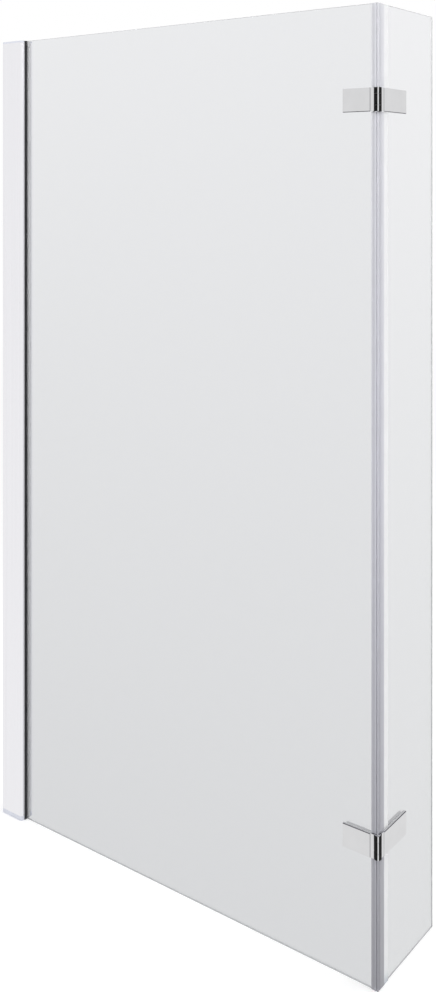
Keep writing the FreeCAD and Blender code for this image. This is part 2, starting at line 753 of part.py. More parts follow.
def check_and_export():
    """Stop at a failed object or an unsound solid, then write one file for each node."""
    doc.recompute()
    for item in doc.Objects:
        if "Invalid" in item.State or "Error" in item.State:
            raise RuntimeError("%s did not build" % item.Name)
        if item.TypeId == "Sketcher::SketchObject" and not item.FullyConstrained:
            raise RuntimeError("%s is not fully constrained" % item.Name)
    for piece in nodes:
        shape = piece.Shape
        if shape.isNull() or not shape.isValid() or shape.Volume <= 0:
            raise RuntimeError("%s has no sound solid" % piece.Label)
    os.makedirs("parts", exist_ok=True)
    for piece in nodes:
        piece.Shape.exportStep("parts/%s.step" % piece.Label)
        box = piece.Shape.BoundBox
        print("%-32s %2d solid %12.1f mm3  x %7.2f %7.2f  y %7.2f %7.2f  z %8.2f %8.2f" % (
            piece.Label, len(piece.Shape.Solids), piece.Shape.Volume,
            box.XMin, box.XMax, box.YMin, box.YMax, box.ZMin, box.ZMax))


make_wall_channel()
make_glass_profile()
make_profile_caps()
make_lock_screws()
make_glazing()
make_main_glass()
make_return_glass()
make_corner_seals()
for hinge_name, hinge_level in HINGES.items():
    make_hinge(hinge_name, hinge_level)
check_and_export()
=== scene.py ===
"""Dresses a packed square bath screen: panes, seals, wall profile, hinges and the studio round them."""

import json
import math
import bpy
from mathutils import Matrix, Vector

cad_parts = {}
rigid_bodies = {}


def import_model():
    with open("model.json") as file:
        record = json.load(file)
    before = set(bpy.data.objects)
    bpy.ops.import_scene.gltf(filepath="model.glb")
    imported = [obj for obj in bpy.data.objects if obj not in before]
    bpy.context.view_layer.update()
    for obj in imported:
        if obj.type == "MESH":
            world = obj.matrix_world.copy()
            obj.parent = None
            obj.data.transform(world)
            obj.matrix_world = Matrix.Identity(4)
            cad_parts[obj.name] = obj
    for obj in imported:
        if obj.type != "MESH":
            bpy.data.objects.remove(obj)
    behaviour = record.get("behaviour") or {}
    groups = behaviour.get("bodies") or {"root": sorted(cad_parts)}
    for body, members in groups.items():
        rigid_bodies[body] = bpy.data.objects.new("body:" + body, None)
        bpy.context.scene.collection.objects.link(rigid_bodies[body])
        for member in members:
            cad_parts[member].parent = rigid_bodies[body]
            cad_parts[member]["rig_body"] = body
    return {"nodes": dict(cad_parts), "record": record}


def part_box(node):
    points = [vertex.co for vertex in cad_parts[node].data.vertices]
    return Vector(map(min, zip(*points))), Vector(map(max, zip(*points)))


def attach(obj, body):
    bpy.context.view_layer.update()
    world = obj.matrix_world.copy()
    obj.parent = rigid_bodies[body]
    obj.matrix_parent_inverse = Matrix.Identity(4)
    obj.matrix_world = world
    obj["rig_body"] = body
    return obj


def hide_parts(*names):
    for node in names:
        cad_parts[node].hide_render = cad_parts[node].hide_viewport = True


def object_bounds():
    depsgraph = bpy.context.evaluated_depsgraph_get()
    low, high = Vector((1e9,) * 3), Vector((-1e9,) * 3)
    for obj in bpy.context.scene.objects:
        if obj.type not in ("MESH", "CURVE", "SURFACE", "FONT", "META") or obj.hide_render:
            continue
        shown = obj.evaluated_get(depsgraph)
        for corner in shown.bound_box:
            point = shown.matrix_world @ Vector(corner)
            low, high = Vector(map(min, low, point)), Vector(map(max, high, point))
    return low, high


bl_info = {
    "name": "Square Bath Screen",
    "version": (1, 0, 0),
    "blender": (4, 5, 0),
    "location": "3D View > Sidebar > Bath Screen",
    "description": "Models and finishes the pieces of a square bath screen on its packed frame",
    "category": "Add Mesh",
}

import bmesh
import bpy
from bpy.props import FloatProperty, FloatVectorProperty, IntProperty, PointerProperty
from mathutils import Vector

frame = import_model()
CAD_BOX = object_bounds()

# Pieces are drawn in millimetres, because bmesh fills tiny shapes badly, and scaled to metres last.
MM = 1000.0
SLOTS = {part["node"]: part["material_slot"] for part in frame["record"]["subparts"]}
BODIES = {node: item["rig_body"] for node, item in frame["nodes"].items()}

# Distances in millimetres within which corners merge, cuts snap and levels count as the same.
MERGE_DISTANCE = 0.001
CUT_TOLERANCE = 0.0001
LEVEL_TOLERANCE = 0.01
STEP_TOLERANCE = 0.3

# Angles in degrees, and how far a face's normal may lean from a direction that it counts as facing.
FLAT_ANGLE = 0.5
CREASE_ANGLE = 32.0
SOFT_EDGE_ANGLE = 30.0
SHARP_EDGE_ANGLE = 60.0
FACING = 0.9
FACING_SQUARELY = 0.99

# Air in millimetres that keeps finished pieces from lying in the same plane as their neighbours.
CAP_GAPS = (0.05, 0.05, 0.0)
PIN_GAPS = (0.0, 0.0, 0.02)
PAD_GAPS = {"main_": (0.0, 0.03, 0.0), "return_": (0.03, 0.0, 0.0)}
GASKET_GAP = 0.1

# Facets of small roundings and arcs.
FINE_STEPS = 2
TIP_STEPS = 3
LIP_STEPS = 4
CUP_STEPS = 6
BEAD_STEPS = 24

# The seals' neck is a little thicker than their flanges.
NECK_SHARE = 1.2

# Share of a noise's range that a grain uses, and grains as waves per metre on each axis.
GRAIN_RANGE = (0.3, 0.7)
BROAD_GRAIN = (40.0, 40.0, 40.0)
FINE_GRAIN = (900.0, 900.0, 900.0)
DRAWN_GRAIN = (900.0, 900.0, 1.5)
SEAL_GRAIN = (700.0, 700.0, 3.0)
PAPER_GRAIN = (60.0, 60.0, 60.0)


# ---------------------------------------------------------------- sizes and colours

def length(label, text, default):
    """Length property, in metres."""
    return FloatProperty(name=label, description=text, default=default, min=0.0, precision=5,
                         unit="LENGTH", subtype="DISTANCE")


def colour(label, text, default):
    """Linear colour property."""
    return FloatVectorProperty(name=label, description=text, default=default, min=0.0, max=1.0,
                               size=3, subtype="COLOR")


class BATHSCREEN_PG_sizes(bpy.types.PropertyGroup):
    """Small sizes that finish the frame's pieces; the large ones come from the frame itself."""

    pane_arris: length("Pane arris", "Ground arris along every edge of the panes", 0.0006)
    pane_gap: length("Pane gap", "Air left between the glass and what grips it", 0.00005)
    seal_wall: length("Seal wall", "Thickness of the corner seals' flanges", 0.001)
    seal_tip: length("Seal tip", "Rounding at the ends of the seals' flanges", 0.0004)
    seal_corner: length("Seal corner", "Rounding of the seals' outer corners", 0.0006)
    inner_flange: length("Inner flange", "Reach of the return seal's inner flange", 0.0158)
    bead_radius: length("Bead radius", "Round bead on the return pane's seal", 0.0015)
    cup_radius: length("Cup radius", "Hollow in the main pane's seal, round the bead", 0.0024)
    groove_reach: length("Groove reach", "Where the return flange starts, past the bead's groove", 0.0029)
    groove_depth: length("Groove depth", "Depth of the neck behind the pane's outer face", 0.0006)
    metal_edge: length("Metal edge", "Softened edge of the hinge plates", 0.0004)
    # The chamfer's dark colour is a painted reflection.
    plate_chamfer: length("Plate chamfer", "Dull chamfer along a hinge plate's inner end", 0.0009)
    wing_start: length("Wing start", "Reach at which a hinge plate steps down to its wing", 0.0105)
    fine_edge: length("Fine edge", "Softened edge of small pieces", 0.00015)
    lip_round: length("Gasket lip", "Rounding of the glazing gaskets' lips", 0.0009)
    profile_edge: length("Profile edge", "Softening of the wall profile's outer corners", 0.0003)
    profile_corner: length("Profile corner", "Band that holds the wall profile's chamfers", 0.0033)
    lip_edge: length("Lip edge", "Depth of the gaskets' lips past the profile's face", 0.001)
    round_steps: IntProperty(name="Round steps", description="Facets in a softened edge",
                             default=3, min=1, max=8)


class BATHSCREEN_PG_colours(bpy.types.PropertyGroup):
    """Colours of the finishes. Where head and foot differ, they follow the photograph's shading."""

    chrome: colour("Chrome", "Polished chrome of the hinges", (0.68, 0.68, 0.69))
    # Painted dark reflection: near-black colour on the hinge plates' chamfers and on the main plate's wing
    # step.
    chrome_end: colour("Chrome ends", "Dull plating on the plates' chamfers and steps", (0.07, 0.07, 0.08))
    profile: colour("Profile", "Bright anodised wall profile", (0.855, 0.85, 0.878))
    # The panes' tones are a real pale tint with painted shade that darkens them towards the foot.
    main_head: colour("Main pane at the head", "Tint of the main pane at the top", (0.82, 0.826, 0.84))
    main_foot: colour("Main pane at the foot", "Tint of the main pane at the foot", (0.66, 0.668, 0.682))
    side_head: colour("Return pane at the head", "Return pane's tint at the top", (0.862, 0.866, 0.88))
    side_foot: colour("Return pane at the foot", "Return pane's tint at the foot", (0.68, 0.688, 0.70))
    # The glass edges' tones are a real grey edge with painted shade that darkens them towards the foot.
    edge_head: colour("Glass edge at the head", "Ground edges at the top", (0.97, 0.975, 0.98))
    edge_low: colour("Glass edge low down", "Ground edges a quarter of the way up", (0.66, 0.68, 0.69))
    edge_foot: colour("Glass edge at the foot", "Ground edges at the foot", (0.34, 0.36, 0.37))
    # The seals' tones are a real pale tint with painted shade that darkens them towards the foot.
    seal_head: colour("Seal at the head", "Corner seals at the top", (0.86, 0.86, 0.90))
    seal_middle: colour("Seal at mid height", "Corner seals halfway up", (0.76, 0.76, 0.82))
    seal_foot: colour("Seal at the foot", "Corner seals at the foot", (0.47, 0.47, 0.51))
    fin: colour("Fin", "Single layer at the edge of the return seal", (0.97, 0.975, 0.985))
    # The fin's darker tone at the foot is painted shade.
    fin_foot: colour("Fin at the foot", "Frosted cut end of that layer", (0.66, 0.70, 0.75))
    rubber: colour("Rubber", "Black glazing gaskets", (0.02, 0.02, 0.022))
    black_nylon: colour("Black nylon", "Shells on the hinge knuckles", (0.004, 0.004, 0.0045))
    nylon: colour("Nylon", "Sleeves, washers and edge blocks", (0.80, 0.79, 0.75))
    pad: colour("Pad", "Soft pads and the inner gasket", (0.93, 0.935, 0.95))
    steel: colour("Steel", "Screws", (0.58, 0.58, 0.60))
    aluminium: colour("Aluminium", "Wall channel as extruded", (0.74, 0.74, 0.76))
    cap: colour("Cap", "Moulded end caps and screw covers", (0.72, 0.74, 0.82))


def sizes_mm(context):
    """Length properties of the scene, in millimetres, by name."""
    group = context.scene.bath_screen_sizes
    lengths = {}
    for name, note in BATHSCREEN_PG_sizes.__annotations__.items():
        value = getattr(group, name)
        lengths[name] = value * MM if note.keywords.get("unit") == "LENGTH" else value
    return lengths


# ---------------------------------------------------------------- finishes

def start_material(name):
    """New node material, its node maker, its links and its shader."""
    material = bpy.data.materials.new(name)
    material.use_nodes = True
    tree = material.node_tree
    return material, tree.nodes.new, tree.links.new, tree.nodes["Principled BSDF"]


def object_grain(new, link, scale, detail=3.0):
    """Noise on Object coordinates, stretched by a scale for each axis."""
    coordinates = new("ShaderNodeTexCoord")
    mapping = new("ShaderNodeMapping")
    mapping.inputs["Scale"].default_value = scale
    link(coordinates.outputs["Object"], mapping.inputs["Vector"])
    noise = new("ShaderNodeTexNoise")
    noise.inputs["Scale"].default_value = 1.0
    noise.inputs["Detail"].default_value = detail
    link(mapping.outputs["Vector"], noise.inputs["Vector"])
    return noise.outputs["Fac"]


def vary(new, link, source, low, high, target):
    """Drive a value between two limits from a grain."""
    spread = new("ShaderNodeMapRange")
    spread.inputs["From Min"].default_value = GRAIN_RANGE[0]
    spread.inputs["From Max"].default_value = GRAIN_RANGE[1]
    spread.inputs["To Min"].default_value = low
    spread.inputs["To Max"].default_value = high
    link(source, spread.inputs["Value"])
    link(spread.outputs["Result"], target)


def roughen(new, link, source, shader, strength, depth):
    """Bump from a grain."""
    bump = new("ShaderNodeBump")
    bump.inputs["Strength"].default_value = strength
    bump.inputs["Distance"].default_value = depth
    link(source, bump.inputs["Height"])
    link(bump.outputs["Normal"], shader.inputs["Normal"])


def mottle(new, link, source, base, depth, shader):
    """Base colour that a grain makes a little darker in places."""
    ramp = new("ShaderNodeValToRGB")
    ramp.color_ramp.elements[0].position = GRAIN_RANGE[0]
    ramp.color_ramp.elements[0].color = [channel * (1.0 - depth) for channel in base] + [1.0]
    ramp.color_ramp.elements[1].position = GRAIN_RANGE[1]
    ramp.color_ramp.elements[1].color = list(base) + [1.0]
    link(source, ramp.inputs["Fac"])
    link(ramp.outputs["Color"], shader.inputs["Base Color"])


def grade_by_height(new, link, stops, target):
    """Colour that changes with height, from stops of height in metres and colour."""
    foot, head = stops[0][0], stops[-1][0]
    coordinates = new("ShaderNodeTexCoord")
    axes = new("ShaderNodeSeparateXYZ")
    link(coordinates.outputs["Object"], axes.inputs["Vector"])
    height = new("ShaderNodeMapRange")
    height.inputs["From Min"].default_value = foot
    height.inputs["From Max"].default_value = head
    link(axes.outputs["Z"], height.inputs["Value"])
    ramp = new("ShaderNodeValToRGB")
    elements = ramp.color_ramp.elements
    while len(elements) < len(stops):
        elements.new(0.5)
    for element, (level, tone) in zip(elements, stops):
        element.position = (level - foot) / (head - foot)
        element.color = list(tone) + [1.0]
    link(height.outputs["Result"], ramp.inputs["Fac"])
    link(ramp.outputs["Color"], target)


def let_light_through(material, shader, share):
    """Let shadow rays pass, as light does through clear plastic or glass."""
    nodes, link = material.node_tree.nodes, material.node_tree.links.new
    path = nodes.new("ShaderNodeLightPath")
    scale = nodes.new("ShaderNodeMath")
    scale.operation = "MULTIPLY"
    scale.inputs[1].default_value = share
    link(path.outputs["Is Shadow Ray"], scale.inputs[0])
    clear = nodes.new("ShaderNodeBsdfTransparent")
    mix = nodes.new("ShaderNodeMixShader")
    link(scale.outputs["Value"], mix.inputs["Fac"])
    link(shader.outputs["BSDF"], mix.inputs[1])
    link(clear.outputs["BSDF"], mix.inputs[2])
    link(mix.outputs["Shader"], nodes["Material Output"].inputs["Surface"])


def metal(name, base, roughness, grain, bump):
    """Metal whose gloss and tone vary along a grain, with fine relief."""
    material, new, link, shader = start_material(name)
    shader.inputs["Metallic"].default_value = 1.0
    lines = object_grain(new, link, grain)
    vary(new, link, lines, roughness[0], roughness[1], shader.inputs["Roughness"])
    mottle(new, link, lines, base, 0.04, shader)
    roughen(new, link, lines, shader, bump, 0.00002)
    return material


def plastic(name, base, roughness, grain, bump, specular=0.5):
    """Moulded plastic or rubber with a fine surface."""
    material, new, link, shader = start_material(name)
    shader.inputs["Specular IOR Level"].default_value = specular
    specks = object_grain(new, link, (grain, grain, grain), 4.0)
    vary(new, link, specks, roughness[0], roughness[1], shader.inputs["Roughness"])
    mottle(new, link, specks, base, 0.12, shader)
    roughen(new, link, specks, shader, bump, 0.00003)
    return material


def clear_glass(name, stops):
    """Clear toughened glass, with a tint by height that follows the photograph's shading."""
    material, new, link, shader = start_material(name)
    shader.inputs["Transmission Weight"].default_value = 1.0
    shader.inputs["Roughness"].default_value = 0.0
    shader.inputs["IOR"].default_value = 1.5
    grade_by_height(new, link, stops, shader.inputs["Base Color"])
    let_light_through(material, shader, 0.9)
    return material


def ground_edge(name, stops):
    """Edge work of a pane: ground flat, then polished, so it shows as a grey line, with painted shade that
    darkens it towards the foot.
    """
    material, new, link, shader = start_material(name)
    shader.inputs["Transmission Weight"].default_value = 0.5
    shader.inputs["IOR"].default_value = 1.5
    marks = object_grain(new, link, FINE_GRAIN)
    vary(new, link, marks, 0.18, 0.34, shader.inputs["Roughness"])
    grade_by_height(new, link, stops, shader.inputs["Base Color"])
    roughen(new, link, marks, shader, 0.15, 0.00002)
    let_light_through(material, shader, 0.5)
    return material


def soft_seal(name, stops, transmission, scatter, spread):
    """Translucent flexible plastic, extruded, so its faint lines run upwards; where its tone changes with
    height, that is painted shade, darker towards the foot.
    """
    material, new, link, shader = start_material(name)
    shader.inputs["Transmission Weight"].default_value = transmission
    shader.inputs["IOR"].default_value = 1.45
    shader.inputs["Subsurface Weight"].default_value = scatter
    shader.inputs["Subsurface Scale"].default_value = spread
    shader.inputs["Subsurface Radius"].default_value = (1.0, 1.0, 1.0)
    grade_by_height(new, link, stops, shader.inputs["Base Color"])
    lines = object_grain(new, link, SEAL_GRAIN)
    vary(new, link, lines, 0.12, 0.24, shader.inputs["Roughness"])
    roughen(new, link, lines, shader, 0.12, 0.00003)
    let_light_through(material, shader, 0.6)
    return material


def make_finishes(context):
    """Every material of the screen: the record's slots, each pane's glass, and those of single faces."""
    tones = context.scene.bath_screen_colours
    foot = 0.0
    head = CAD_BOX[1][2]
    # The painted dark reflection on the hinge plates and the tones by height, painted shade that darkens
    # towards the foot, are fitted to the photograph; the real ones aren't known.
    seal_tones = ((foot, tones.seal_foot), (head / 2, tones.seal_middle), (head, tones.seal_head))
    edge_tones = ((foot, tones.edge_foot), (head / 4, tones.edge_low), (head, tones.edge_head))
    fin_tones = ((foot, tones.fin_foot), (head / 80, tones.fin), (head, tones.fin))
    return {
        "polished_chrome": metal("polished_chrome", tones.chrome, (0.03, 0.07), BROAD_GRAIN, 0.03),
        "chrome_end": metal("chrome_end", tones.chrome_end, (0.3, 0.4), BROAD_GRAIN, 0.1),
        "bright_profile": metal("bright_profile", tones.profile, (0.14, 0.22), DRAWN_GRAIN, 0.08),
        "channel_aluminium": metal("channel_aluminium", tones.aluminium, (0.3, 0.42), DRAWN_GRAIN, 0.3),
        "screw_steel": metal("screw_steel", tones.steel, (0.2, 0.32), FINE_GRAIN, 0.1),
        "main_glass": clear_glass("main_glass", ((foot, tones.main_foot), (head, tones.main_head))),
        "return_glass": clear_glass("return_glass", ((foot, tones.side_foot), (head, tones.side_head))),
        "glass_edge": ground_edge("glass_edge", edge_tones),
        "clear_seal": soft_seal("clear_seal", seal_tones, 0.5, 0.15, 0.002),
        "clear_fin": soft_seal("clear_fin", fin_tones, 0.5, 0.15, 0.002),
        "clear_pad": soft_seal("clear_pad", ((foot, tones.pad), (head, tones.pad)), 0.1, 1.0, 0.012),
        "black_gasket": plastic("black_gasket", tones.rubber, (0.45, 0.6), 800.0, 0.2, 0.3),
        "black_nylon": plastic("black_nylon", tones.black_nylon, (0.32, 0.45), 1200.0, 0.15, 0.1),
        "nylon": plastic("nylon", tones.nylon, (0.35, 0.5), 900.0, 0.15),
        "cap_plastic": plastic("cap_plastic", tones.cap, (0.2, 0.3), 900.0, 0.06),
    }


FINISHES = {}


def finish_for(context, name):
    """Material by name; all are made at the first call."""
    if not FINISHES:
        FINISHES.update(make_finishes(context))
    return FINISHES[name]


# ---------------------------------------------------------------- modelling helpers

def angle_between(edge):
    """Angle between an edge's two faces; none at an open edge."""
    return edge.calc_face_angle(0.0) if len(edge.link_faces) == 2 else 0.0


def edges_over(bm, angle):
    """Edges whose faces meet at more than an angle in degrees."""
    return [edge for edge in bm.edges if angle_between(edge) > math.radians(angle)]


def soften_edges(bm, edges, width, steps):
    """Round or chamfer some edges."""
    bmesh.ops.bevel(bm, geom=edges, offset=width, offset_type="OFFSET", segments=steps, profile=0.5,
                    affect="EDGES", clamp_overlap=True, material=-1)


def copy_of(node):
    """A CAD node's shape in millimetres, with its corners merged and its flat faces made whole."""
    bm = bmesh.new()
    bm.from_mesh(frame["nodes"][node].data)
    bmesh.ops.scale(bm, vec=(MM, MM, MM), verts=bm.verts)
    bmesh.ops.remove_doubles(bm, verts=bm.verts, dist=MERGE_DISTANCE)
    bmesh.ops.dissolve_limit(bm, angle_limit=math.radians(FLAT_ANGLE), verts=bm.verts, edges=bm.edges)
    return bm


def draw_in(bm, gaps):
    """Pull a shape in from its own box by a gap on each axis, clear of its neighbours."""
    low = [min(vert.co[axis] for vert in bm.verts) for axis in range(3)]
    high = [max(vert.co[axis] for vert in bm.verts) for axis in range(3)]
    for vert in bm.verts:
        for axis in range(3):
            middle = (low[axis] + high[axis]) / 2
            half = (high[axis] - low[axis]) / 2
            vert.co[axis] = middle + (vert.co[axis] - middle) * (half - gaps[axis]) / half


def finish_piece(context, bm, name, nodes, finishes):
    """Make the object: to metres, shaded smooth between its real edges, riding where its nodes ride."""
    crease = math.radians(CREASE_ANGLE)
    for face in bm.faces:
        face.smooth = True
    for edge in bm.edges:
        edge.smooth = angle_between(edge) < crease
    bmesh.ops.scale(bm, vec=(1 / MM, 1 / MM, 1 / MM), verts=bm.verts)
    mesh = bpy.data.meshes.new(name)
    bm.to_mesh(mesh)
    bm.free()
    for finish in finishes:
        mesh.materials.append(finish_for(context, finish))
    piece = bpy.data.objects.new(name, mesh)
    context.scene.collection.objects.link(piece)
    normals = piece.modifiers.new("even_normals", "WEIGHTED_NORMAL")
    normals.keep_sharp = True
    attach(piece, BODIES[nodes[0]])
    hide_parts(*nodes)
    return piece


def dress_copy(context, node, width, steps, gaps=(0.0, 0.0, 0.0)):
    """Finish a node's own shape with softened edges."""
    bm = copy_of(node)
    draw_in(bm, gaps)
    soften_edges(bm, edges_over(bm, SOFT_EDGE_ANGLE), width, steps)
    finish_piece(context, bm, node + "_finished", [node], [SLOTS[node]])


def keep_node(context, node):
    """Leave a node's shape as it is, and give it its finish."""
    item = frame["nodes"][node]
    if not item.data.materials:
        item.data.materials.append(None)
    for index in range(len(item.data.materials)):
        item.data.materials[index] = finish_for(context, SLOTS[node])


def arc(radius, start, end, steps):
    """Points on an arc about the origin, both ends included, with angles in degrees."""
    points = []
    for step in range(steps + 1):
        angle = math.radians(start + (end - start) * step / steps)
        points.append((radius * math.cos(angle), radius * math.sin(angle)))
    return points


def draw_outline(bm, corners, level, roundings=()):
    """Flat face from its corners; each rounding is a radius, its facets and the corners it takes."""
    verts = [bm.verts.new((across, along, level)) for across, along in corners]
    bm.faces.new(verts)
    for radius, steps, numbers in roundings:
        bmesh.ops.bevel(bm, geom=[verts[number] for number in numbers], offset=radius,
                        offset_type="OFFSET", segments=steps, profile=0.5, affect="VERTICES",
                        clamp_overlap=True, material=-1)


def raise_outline(bm, head_level, foot_level):
    """Make the drawn face an upright bar."""
    grown = bmesh.ops.extrude_face_region(bm, geom=bm.faces[:])
    top = [item for item in grown["geom"] if isinstance(item, bmesh.types.BMVert)]
    bmesh.ops.translate(bm, vec=(0.0, 0.0, head_level - foot_level), verts=top)
    bmesh.ops.recalc_face_normals(bm, faces=bm.faces)


def box_mm(node):
    """A node's lowest and highest corner in millimetres."""
    low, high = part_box(node)
    return low * MM, high * MM


# ---------------------------------------------------------------- the corner

def corner_axis():
    """Plan position of the hinge axis, where the outer faces of the panes would meet."""
    return box_mm("return_glass")[1].x, box_mm("main_glass")[0].y


def corner_plan(side, points):
    """Place points of reach along a pane and depth behind its outer face in the plan."""
    axis_x, axis_y = corner_axis()
    if side == "main":
        return [(axis_x - reach, axis_y + depth) for reach, depth in points]
    return [(axis_x - depth, axis_y + reach) for reach, depth in points]


def seal_outline(side, sizes, thickness):
    """Section of a corner seal, a U on the pane's edge with a neck, and the corners to round."""
    axis_x, axis_y = corner_axis()
    low, high = box_mm(side + "_corner_seal_middle")
    glass_edge = axis_x - box_mm("main_glass")[1].x
    wall = sizes["seal_wall"]
    neck_back = NECK_SHARE * wall
    web = glass_edge - wall
    back = thickness + wall
    if side == "main":
        reach = inner_reach = axis_x - low.x
        radius = sizes["cup_radius"]
        front_angle = -math.degrees(math.asin(wall / radius))
        back_angle = math.degrees(math.asin(neck_back / radius))
        neck = arc(radius, front_angle, back_angle, CUP_STEPS)
    else:
        # The bead stands free of the flange, past a groove.
        reach = high.y - axis_y
        inner_reach = sizes["inner_flange"]
        radius = sizes["bead_radius"]
        groove = sizes["groove_depth"]
        front_angle = math.degrees(math.asin(groove / radius))
        back_angle = math.degrees(math.asin(neck_back / radius)) - 360.0
        start = sizes["groove_reach"]
        bead = arc(radius, front_angle, back_angle, BEAD_STEPS)
        neck = [(start, -wall), (start, groove)] + bead
    arms = [(web, neck_back), (web, back), (inner_reach, back), (inner_reach, thickness),
            (glass_edge, thickness), (glass_edge, 0.0), (reach, 0.0), (reach, -wall)]
    first = len(neck)
    tips = [first + 2, first + 3, first + 6, first + 7]
    corners = [first + 1]
    if side == "return":
        corners.append(0)
    return neck + arms, tips, corners


def mark_fin(bm, level):
    """Part the return seal's outer flange where it becomes a single layer, and mark that layer."""
    everything = bm.verts[:] + bm.edges[:] + bm.faces[:]
    bmesh.ops.bisect_plane(bm, geom=everything, dist=CUT_TOLERANCE, plane_co=(0.0, level, 0.0),
                           plane_no=(0.0, 1.0, 0.0))
    for face in bm.faces:
        if face.calc_center_median().y > level:
            face.material_index = 1


class BATHSCREEN_OT_corner_seals(bpy.types.Operator):
    """Make the translucent corner seals, with rounded flanges, a bead and the cup round it"""

    bl_idname = "bath_screen.corner_seals"
    bl_label = "Corner Seals"

    def execute(self, context):
        sizes = sizes_mm(context)
        low, high = box_mm("main_glass")
        thickness = high.y - low.y
        fin_start = corner_axis()[1] + sizes["inner_flange"]
        for side in ("main", "return"):
            points, tips, corners = seal_outline(side, sizes, thickness)
            roundings = ((sizes["seal_tip"], TIP_STEPS, tips),
                         (sizes["seal_corner"], TIP_STEPS, corners))
            finishes = ["clear_seal"]
            if side == "return":
                finishes.append("clear_fin")
            for part in ("bottom", "middle", "top"):
                node = "%s_corner_seal_%s" % (side, part)
                foot, head = box_mm(node)
                bm = bmesh.new()
                draw_outline(bm, corner_plan(side, points), foot.z, roundings)
                raise_outline(bm, head.z, foot.z)
                if side == "return":
                    mark_fin(bm, fin_start)
                finish_piece(context, bm, node + "_finished", [node], finishes)
        return {"FINISHED"}


# ---------------------------------------------------------------- panes

class BATHSCREEN_OT_panes(bpy.types.Operator):
    """Make the two panes, with ground edges, arrises and hinge holes"""

    bl_idname = "bath_screen.panes"
    bl_label = "Panes"

    def execute(self, context):
        sizes = sizes_mm(context)
        for node, thin_axis in (("main_glass", 1), ("return_glass", 0)):
            bm = copy_of(node)
            gaps = [0.0, 0.0, 0.0]
            gaps[thin_axis] = sizes["pane_gap"]
            draw_in(bm, gaps)
            soften_edges(bm, edges_over(bm, SHARP_EDGE_ANGLE), sizes["pane_arris"], 1)
            for face in bm.faces:
                on_pane_face = abs(face.normal[thin_axis]) > FACING_SQUARELY
                face.material_index = 0 if on_pane_face else 1
            piece = finish_piece(context, bm, node + "_finished", [node], [node, "glass_edge"])
            # The flat panes keep their own normals.
            piece.modifiers.clear()
        return {"FINISHED"}


# ---------------------------------------------------------------- wall profile

class BATHSCREEN_OT_wall_profile(bpy.types.Operator):
    """Make the wall channel, the bright profile that slides over it and its end caps"""

    bl_idname = "bath_screen.wall_profile"
    bl_label = "Wall Profile"

    def execute(self, context):
        sizes = sizes_mm(context)
        steps = sizes["round_steps"]
        dress_copy(context, "wall_channel", sizes["fine_edge"], FINE_STEPS)
        bm = copy_of("glass_profile")
        high = box_mm("glass_profile")[1]
        # The chamfers' edges are softened first, and the other edges after them.
        corner_band = sizes["profile_corner"]
        outer = []
        for edge in bm.edges:
            middle = (edge.verts[0].co + edge.verts[1].co) / 2
            upright = abs(edge.verts[0].co.z - edge.verts[1].co.z) > high.z / 2
            near_corner = middle.x > high.x - corner_band and high.y - abs(middle.y) < corner_band
            if upright and near_corner and angle_between(edge) > math.radians(SOFT_EDGE_ANGLE):
                outer.append(edge)
        soften_edges(bm, outer, sizes["profile_edge"], steps)
        soften_edges(bm, edges_over(bm, SHARP_EDGE_ANGLE), sizes["fine_edge"], FINE_STEPS)
        finish_piece(context, bm, "glass_profile_finished", ["glass_profile"], ["bright_profile"])
        for node in ("profile_top_cap", "profile_bottom_cap"):
            dress_copy(context, node, 2 * sizes["fine_edge"], steps, CAP_GAPS)
        return {"FINISHED"}


class BATHSCREEN_OT_glazing(bpy.types.Operator):
    """Make the gaskets that grip the pane, with rounded lips, and finish its edge blocks"""

    bl_idname = "bath_screen.glazing"
    bl_label = "Glazing Gaskets"

    def execute(self, context):
        sizes = sizes_mm(context)
        for side in (-1, 1):
            node = "outer_glazing_gasket" if side < 0 else "inner_glazing_gasket"
            low, high = box_mm(node)
            near, far = (high.y, low.y) if side < 0 else (low.y, high.y)
            profile_face = box_mm("glass_profile")[1].x
            lip_edge = far - side * sizes["lip_edge"]
            corners = [(low.x, near), (high.x, near), (high.x, lip_edge), (profile_face, lip_edge),
                       (profile_face - GASKET_GAP, far), (low.x, far)]
            bm = bmesh.new()
            draw_outline(bm, corners, low.z, ((sizes["lip_round"], LIP_STEPS, (1, 2)),))
            raise_outline(bm, high.z, low.z)
            finish_piece(context, bm, node + "_finished", [node], [SLOTS[node]])
        dress_copy(context, "glass_edge_blocks", sizes["fine_edge"], FINE_STEPS)
        return {"FINISHED"}


# ---------------------------------------------------------------- hinges and fasteners

def dress_leaf(context, hinge, side, sizes):
    """Finish a hinge plate, with a chamfer along its end nearer the screen's middle, coloured as a painted
    dark reflection.

    The photograph has dark lines there. The one-sided chamfer and its painted dark reflection are guesses.
    """
    node = hinge + side + "leaf"
    outward = Vector((0.0, -1.0, 0.0)) if side == "main_" else Vector((1.0, 0.0, 0.0))
    low, high = box_mm(node)
    level = low.z if hinge == "upper_hinge_" else high.z
    bm = copy_of(node)
    front = []
    for edge in bm.edges:
        at_end = all(abs(vert.co.z - level) < LEVEL_TOLERANCE for vert in edge.verts)
        long_enough = edge.calc_length() > sizes["wing_start"]
        in_front = any(face.normal.dot(outward) > FACING for face in edge.link_faces)
        if at_end and long_enough and in_front:
            front.append(edge)
    cut = bmesh.ops.bevel(bm, geom=front, offset=sizes["plate_chamfer"], offset_type="OFFSET",
                          segments=1, profile=0.5, affect="EDGES", clamp_overlap=False, material=-1)
    # The chamfer faces take the painted dark reflection.
    for face in cut["faces"]:
        face.material_index = 1
    # The main plate's step down to its wing takes the painted dark reflection as well.
    step = corner_axis()[0] - sizes["wing_start"]
    for face in bm.faces:
        on_step = abs(face.calc_center_median().x - step) < STEP_TOLERANCE
        if side == "main_" and face.normal.x > FACING and on_step:
            face.material_index = 1
    soften_edges(bm, edges_over(bm, SHARP_EDGE_ANGLE), sizes["metal_edge"], sizes["round_steps"])
    finish_piece(context, bm, node + "_finished", [node], [SLOTS[node], "chrome_end"])


